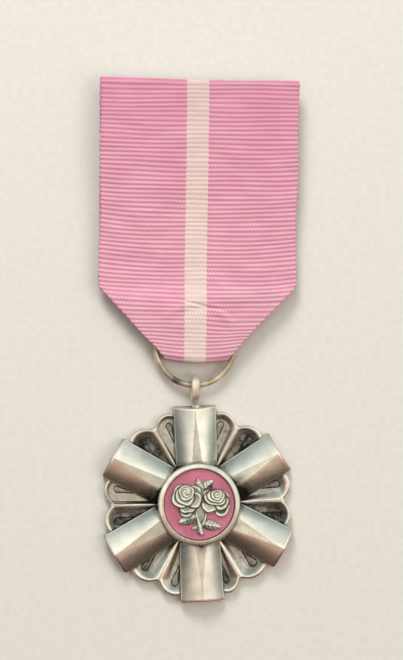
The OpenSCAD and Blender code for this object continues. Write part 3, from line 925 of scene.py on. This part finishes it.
# The eyelet is a band bent to an oval that stands on edge, broadest at its middle, and joined
# to the top arm by a drop of solder. The suspension ring passes through it.
eyelet_middle = (-0.55, 20.7, 1.7)
eyelet_length = 5.2
eyelet_height = 3.4
eyelet_width = 1.52
band_t = 0.85
eyelet_grid = (96, 24)
solder_x = -0.33


def eyelet_points(turns, sides):
    """A band on an oval in the YZ plane, drawn in only close to the oval's ends."""
    t = circle(turns)[:, None]
    p = circle(sides)
    out = band_t / 2 * signed_power(np.cos(p), 0.8)
    x = eyelet_width / 2 * signed_power(np.sin(p), 0.7) * (1 - 0.42 * np.cos(t) ** 6)
    y = (eyelet_length - band_t) / 2 * signed_power(np.cos(t), 0.9) + out * np.cos(t)
    z = ((eyelet_height - band_t) / 2 + out) * np.sin(t)
    return np.stack([x, y, z], -1) + eyelet_middle


eyelet = mesh_piece("eyelet", eyelet_points(*eyelet_grid), grid_faces(*eyelet_grid, closed=True))


def loft_along_y(sections, middle_x, steps):
    """Rounded sections one after another: each row is y, half the width, its foot, its top."""
    y, half, low, top = np.asarray(sections).T[:, :, None]
    p = circle(steps)
    x = middle_x + half * signed_power(np.cos(p), 0.8)
    z = between(low, top, 0.5 + 0.5 * signed_power(np.sin(p), 0.8))
    return np.stack([x, y + 0 * p, z], -1)


foot = loft_along_y([
    (16.40, 0.60, 0.10, 1.30), (16.45, 0.74, 0.03, 1.50), (16.9, 0.80, 0.02, 2.10),
    (17.3, 0.78, 0.02, 2.55), (17.55, 0.66, 0.02, 2.50), (17.8, 0.48, 0.02, 2.30),
    (18.05, 0.38, 0.03, 2.05), (18.4, 0.34, 0.05, 1.85), (18.8, 0.32, 0.08, 1.60),
    (18.92, 0.22, 0.20, 1.40)], solder_x, 20)
rows, cols = foot.shape[:2]
eyelet_foot = mesh_piece("eyelet_foot", foot, grid_faces(rows, cols)[:, ::-1],
                         [cap[::-1] for cap in end_caps(rows, cols)])
eyelet_silver = silver_finish("eyelet_silver", (0.84, 0.77, 0.63), (0.50, 0.42, 0.32), 0.38, 520,
                              metal=0.7)
for piece, finish in ((eyelet, eyelet_silver), (eyelet_foot, struck_silver)):
    piece.data.materials.append(finish)
    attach(piece, "root")
    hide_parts("star")


# The medallion is a shallow silvered cup with a rounded rim, riveted to the middle of the
# star. Its rim is polished bright, and painted shade darkens the wall below it. The rim is
# highest inside and slopes outwards, so that it mirrors the bright room all round.
cup_steps = 220
cup_line = np.array([
    (5.6, 2.27), (6.9, 2.27), (7.02, 2.34), (7.14, 2.6), (7.28, 2.95), (7.38, 3.2),
    (7.42, 3.36), (7.42, 3.46), (7.39, 3.56), (7.33, 3.645), (7.24, 3.705), (7.1, 3.76),
    (6.93, 3.81), (6.77, 3.85), (6.64, 3.873), (6.55, 3.88), (6.48, 3.87), (6.43, 3.84),
    (6.395, 3.79), (6.38, 3.70), (6.37, 3.5), (6.36, 3.2), (6.3, 2.85), (5.6, 2.85)])
cup_r, cup_z = cup_line.T
cup_a = circle(cup_steps)[:, None]
cup = mesh_piece("medallion_cup", polar(cup_r, cup_a, cup_z),
                 grid_faces(cup_steps, len(cup_line), closed=True)[:, ::-1])
# Painted shade darkens the wall below the rim and, more lightly, the cup's lower side, and greys
# its right side. The rim's inner wall above the enamel is dark too.
cup_dark = np.maximum(0.75 * rise(cup_z, 3.3, -0.4),
                      0.62 * rise(cup_r, 6.44, -0.06) * (cup_z > 2.9))
note(cup, "oxide_and_shade", np.maximum(cup_dark, 0.30 * rise(-1.3 * np.sin(cup_a + 0.25))))
note(cup, "tint", 0 * cup_z - 0.5 * rise(1.3 * np.cos(cup_a - 0.35)))
rim_silver = silver_finish("polished_rim", (0.88, 0.83, 0.74), (0.66, 0.62, 0.54), 0.20, 420,
                           oxide_and_shade=True, tint=True)
cup.data.materials.append(rim_silver)
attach(cup, "root")
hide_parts("medallion")


# The enamel is pink glass fired into the cup, a little higher at the rim where it wets the
# metal, with a fine orange-peel surface and faint darker specks.
enamel_top = 3.45
enamel_dip = 0.05
enamel_foot = 2.9
enamel_reach = 6.32


def enamel_points(rings, steps):
    """A disc in rings: level in the middle, rising as a steep power of the radius at the rim."""
    f = np.linspace(0.02, 1, rings)[:, None]
    t = circle(steps)
    top = polar(enamel_reach * f, t, enamel_top - enamel_dip + 0.09 * f ** 14)
    return np.concatenate([top, polar(enamel_reach, t, enamel_foot)[None]])


points = enamel_points(40, 160)
rows, cols = points.shape[:2]
flat, fans = cap_poles(points, (0, 0, enamel_top - enamel_dip), (0, 0, enamel_foot))
enamel = mesh_piece("enamel_field", flat, grid_faces(rows, cols)[:, ::-1], fans)
glass, tree, shader = start_finish("pink_enamel", (0.52, 0.13, 0.21), rough=0.22, specular=0.45)
pink = ramp(noise(tree, 180, 4), [(0.32, (0.335, 0.088, 0.148)), (0.66, (0.495, 0.152, 0.234))])
dots = ramp(noise(tree, 1900), [(0.30, 0.90), (0.45, 1.0)])
plug(shader, {"Base Color": product(pink, dots), "Coat Weight": 0.35, "Coat Roughness": 0.12})
roughen(shader, noise(tree, 900), 0.12, 0.00008)
enamel.data.materials.append(glass)
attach(enamel, "root")
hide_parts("enamel")


# The sprig of two roses is one small casting pinned on the enamel, darkened and then polished
# back, so that the lips of the petals and the leaf veins are bright and the hollows are dark.
# Painted shadow lies round the foot of each form, and painted shade on the petal faces and on
# the halves of the leaves, one darker than the other.
sprig_step = 0.05
sprig_low = -0.03
tooth_pitch = 0.68


def lay_over(under, inside, high, tone, cast=0.85, reach=0.25):
    """Lays a form over the lower ones: its height and tone, and a painted shadow that it casts
    round its foot.

    inside is how far a point is within the form's outline in mm, negative outside it. The
    tone is 0 where the metal is polished bright and 1 where it is black."""
    height, dark = under
    # Painted shadow cast on the lower forms round this one's foot.
    foot = cast * bell(np.maximum(-inside, 0), reach, 1.8)
    return np.where(inside > 0, high, height), np.where(inside > 0, tone, np.maximum(dark, foot))


def lay_petal(under, x, y, row):
    """A petal as a cup: its rolled lip runs round a slightly wavy oval, and its face eases
    down inwards. Its lip is bright, and its face takes the tone given for it, patina and painted
    shade."""
    mx, my, wide, tall, turn, lip, face = row
    dx, dy = spin(x - mx, y - my, -turn)
    round_it = np.arctan2(dy / tall, dx / wide)
    waves = 0.055 * np.sin(3 * round_it + 9 * mx) + 0.03 * np.sin(5 * round_it + 7 * my)
    out = np.hypot(dx / wide, dy / tall) * (1 + waves)
    inside = (1 - out) * (wide + tall) / 2
    high = lip - 0.10 * (1 - np.clip(inside / 0.13, 0, 1)) ** 2 - 0.34 * rise(inside, 0.1, 0.8)
    tone = between(0.08, face, rise(inside, 0.12, 0.55))
    return lay_over(under, inside, high, tone, 0.86, 0.16 + 0.6 * (1.05 - lip))


def lay_heart(under, x, y, middle, reach, high, turn, turns, lips):
    """The furled heart: a low dome on which one lip, or two lips as an S, wind in."""
    dx, dy = (x - middle[0]) / reach, (y - middle[1]) / reach
    out = np.hypot(dx, dy)
    wind = (out * turns - lips * (np.arctan2(dy, dx) + turn) / (2 * np.pi)) % 1
    lip = np.sin(np.pi * wind) ** 2
    dome = high - 0.12 * out ** 2 - 0.12 * (1 - lip)
    return lay_over(under, (1 - out) * reach, dome, 0.42 - 0.34 * lip, 0.7, 0.16)


def lay_leaf(under, x, y, row):
    """A leaf with toothed edges, a raised middle vein and slanting side veins; its two halves take
    different painted shade.
    """
    start, tip, width, high, left_half_shade, right_half_shade = row
    along = np.subtract(tip, start)
    length = np.hypot(*along)
    along = along / length
    u = ((x - start[0]) * along[0] + (y - start[1]) * along[1]) / length
    v = (y - start[1]) * along[0] - (x - start[0]) * along[1]
    share = np.clip(u, 0, 1)
    teeth = 0.20 * ((share * length / tooth_pitch + 0.3) % 1) * np.sin(np.pi * share)
    half = width / 2 * np.sin(np.pi * share ** 0.75) ** 0.8 + teeth + 0.02
    inside = half - np.abs(v) - 1.5 * np.maximum(np.maximum(-u, u - 1) * length, 0)
    vein_no = u * length / tooth_pitch - np.abs(v) / 0.9
    side_vein = np.cos(2 * np.pi * vein_no) * (np.abs(v) > 0.12)
    middle = bell(v, 0.11)
    face = np.where(v > 0, left_half_shade, right_half_shade) - 0.13 * side_vein
    tone = np.clip(face * (1 - 0.9 * middle) * (1 - 0.75 * rise(u, 0.55, 0.4)), 0, 1)
    top = high + 0.10 * middle + 0.04 * side_vein - 0.22 * (np.abs(v) / half) ** 2
    return lay_over(under, inside, top, tone, 0.75)


def lay_stem(under, x, y, route, high):
    """A round stem along a chain of straight lengths, thicker towards its cut end."""
    best = np.full(x.shape, -9.0)
    for (*start, thick_a), (*end, thick_b) in zip(route, route[1:]):
        share, off = off_line(x, y, start, end)
        best = np.maximum(best, between(thick_a, thick_b, share) - off)
    edge = 1 - np.clip(best / 0.26, 0, 1)
    return lay_over(under, best, high - 0.24 * edge ** 2, 0.10 + 0.45 * edge ** 3, 0.6)


# Columns: where the leaf starts, where its tip is, its width, its height, the painted shade of
# its left and of its right half, seen from its start
leaf_rows = [
    ((0.55, 2.5), (2.50, 4.35), 1.60, 0.36, 0.30, 0.80),
    ((0.20, 1.0), (-0.30, 4.75), 1.55, 0.44, 0.55, 0.30),
    ((-0.45, -2.1), (-3.75, -3.20), 1.70, 0.36, 0.62, 0.36),
    ((0.45, -3.4), (3.95, -4.05), 1.55, 0.36, 0.42, 0.62),
    ((0.15, -3.6), (-1.30, -4.35), 0.95, 0.24, 0.30, 0.70)]

# Columns: the oval's middle, half width and half height, its turn, its height, its face's tone,
# patina and painted shade
left_petals = [
    (-2.35, -1.15, 1.30, 1.00, 4, 0.34, 0.95),
    (-2.15, -0.58, 1.42, 0.90, 3, 0.46, 0.30),
    (-1.00, 2.20, 1.20, 1.20, 0, 0.56, 0.50),
    (-1.00, 0.82, 1.42, 1.36, 30, 0.62, 0.46),
    (-2.98, 1.48, 1.96, 2.06, -20, 0.70, 0.26),
    (-2.60, 1.66, 1.62, 1.80, 10, 0.86, 0.46),
    (-2.38, 2.14, 1.36, 1.36, 0, 1.00, 0.44)]
right_petals = [
    (3.92, -0.32, 1.54, 1.78, 10, 0.38, 0.90),
    (1.86, -0.08, 1.46, 1.28, -20, 0.46, 0.34),
    (1.90, 1.50, 1.32, 1.15, 0, 0.50, 0.30),
    (4.02, 0.98, 1.38, 1.58, 0, 0.56, 0.20),
    (3.92, 0.36, 1.22, 1.30, 0, 0.60, 0.66),
    (2.84, 1.24, 1.92, 1.42, -4, 0.72, 0.62),
    (2.98, 1.52, 1.56, 1.16, 0, 0.88, 0.48),
    (3.06, 1.70, 1.02, 0.90, 0, 1.00, 0.50)]
stem_routes = [
    ((1.25, -1.7, 0.20), (0.90, -3.0, 0.22), (0.30, -4.0, 0.34), (-0.05, -4.85, 0.34)),
    ((-0.65, -1.2, 0.20), (-0.30, -2.5, 0.22), (0.02, -3.6, 0.36), (0.42, -5.1, 0.38))]


def sprig_relief(x, y):
    """Height over the enamel and tone of the casting, laid up from its lowest form."""
    laid = (np.full(x.shape, 2 * sprig_low), np.full(x.shape, 0.8))
    laid = lay_over(laid, 0.95 - np.hypot((x - 0.2) / 0.75, (y + 1.7) / 1.6), 0.20, 0.55)
    for row in leaf_rows:
        laid = lay_leaf(laid, x, y, row)
    for route in stem_routes:
        laid = lay_stem(laid, x, y, route, 0.50)
    for row in left_petals:
        laid = lay_petal(laid, x, y, row)
    laid = lay_heart(laid, x, y, (-2.42, 2.18), 0.92, 1.14, 0.4, 1.3, 2)
    for row in right_petals:
        laid = lay_petal(laid, x, y, row)
    return lay_heart(laid, x, y, (3.12, 1.76), 0.56, 1.12, 2.6, 0.8, 1)


def soften(grid):
    """Blurs a grid by averaging each point with its four neighbours."""
    return (grid + sum(np.roll(grid, step, axis) for step in (1, -1) for axis in (0, 1))) / 5


# The relief becomes a closed plate: cells that reach above its lowest level, the same cells on
# a flat back, and walls along every edge that only one cell has.
x, y = np.meshgrid(np.arange(-5.6, 6.1, sprig_step), np.arange(-5.9, 5.4, sprig_step))
height, dark = sprig_relief(x, y)
height = soften(height)
kept = height > sprig_low
cells = kept[:-1, :-1] | kept[1:, :-1] | kept[:-1, 1:] | kept[1:, 1:]
count = x.size
corner = np.arange(count).reshape(x.shape)
top_quads = np.stack([corner[:-1, :-1], corner[:-1, 1:], corner[1:, 1:], corner[1:, :-1]],
                     -1)[cells]
edges = np.concatenate([top_quads[:, [i, (i + 1) % 4]] for i in range(4)])
start, end = edges[~np.isin(edges @ (count, 1), edges @ (1, count))].T
walls = np.stack([end, start, start + count, end + count], 1)
top = np.stack([x, y, enamel_top + np.maximum(height, 2 * sprig_low)], -1).reshape(-1, 3)
under = np.stack([x, y, 0 * x + enamel_top + 3 * sprig_low], -1).reshape(-1, 3)
used, quads = np.unique(np.concatenate([top_quads, top_quads[:, ::-1] + count, walls]),
                        return_inverse=True)
sprig = mesh_piece("rose_sprig", np.concatenate([top, under])[used], quads.reshape(-1, 4))
note(sprig, "oxide_and_shade", np.concatenate([dark.reshape(-1), np.ones(count)])[used])
sprig_silver, tree, shader = start_finish("sprig_silver", (0.6, 0.6, 0.5), metal=0.5, rough=0.36)
speck = noise(tree, 1300, 4) * 0.35 - 0.175
cloud = noise(tree, 380, 2) * 0.5 - 0.22
tarnish_and_shade = clamp(read_note(tree, "oxide_and_shade") + (speck + cloud))
plug(shader, {"Base Color": ramp(tarnish_and_shade, [
    (0.0, (0.86, 0.85, 0.71)), (0.22, (0.66, 0.66, 0.56)), (0.45, (0.38, 0.40, 0.345)),
    (0.68, (0.155, 0.162, 0.140)), (0.95, (0.058, 0.058, 0.050))])})
roughen(shader, noise(tree, 1400), 0.10, 0.00005)
sprig.data.materials.append(sprig_silver)
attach(sprig, "root")
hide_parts("rose_relief")
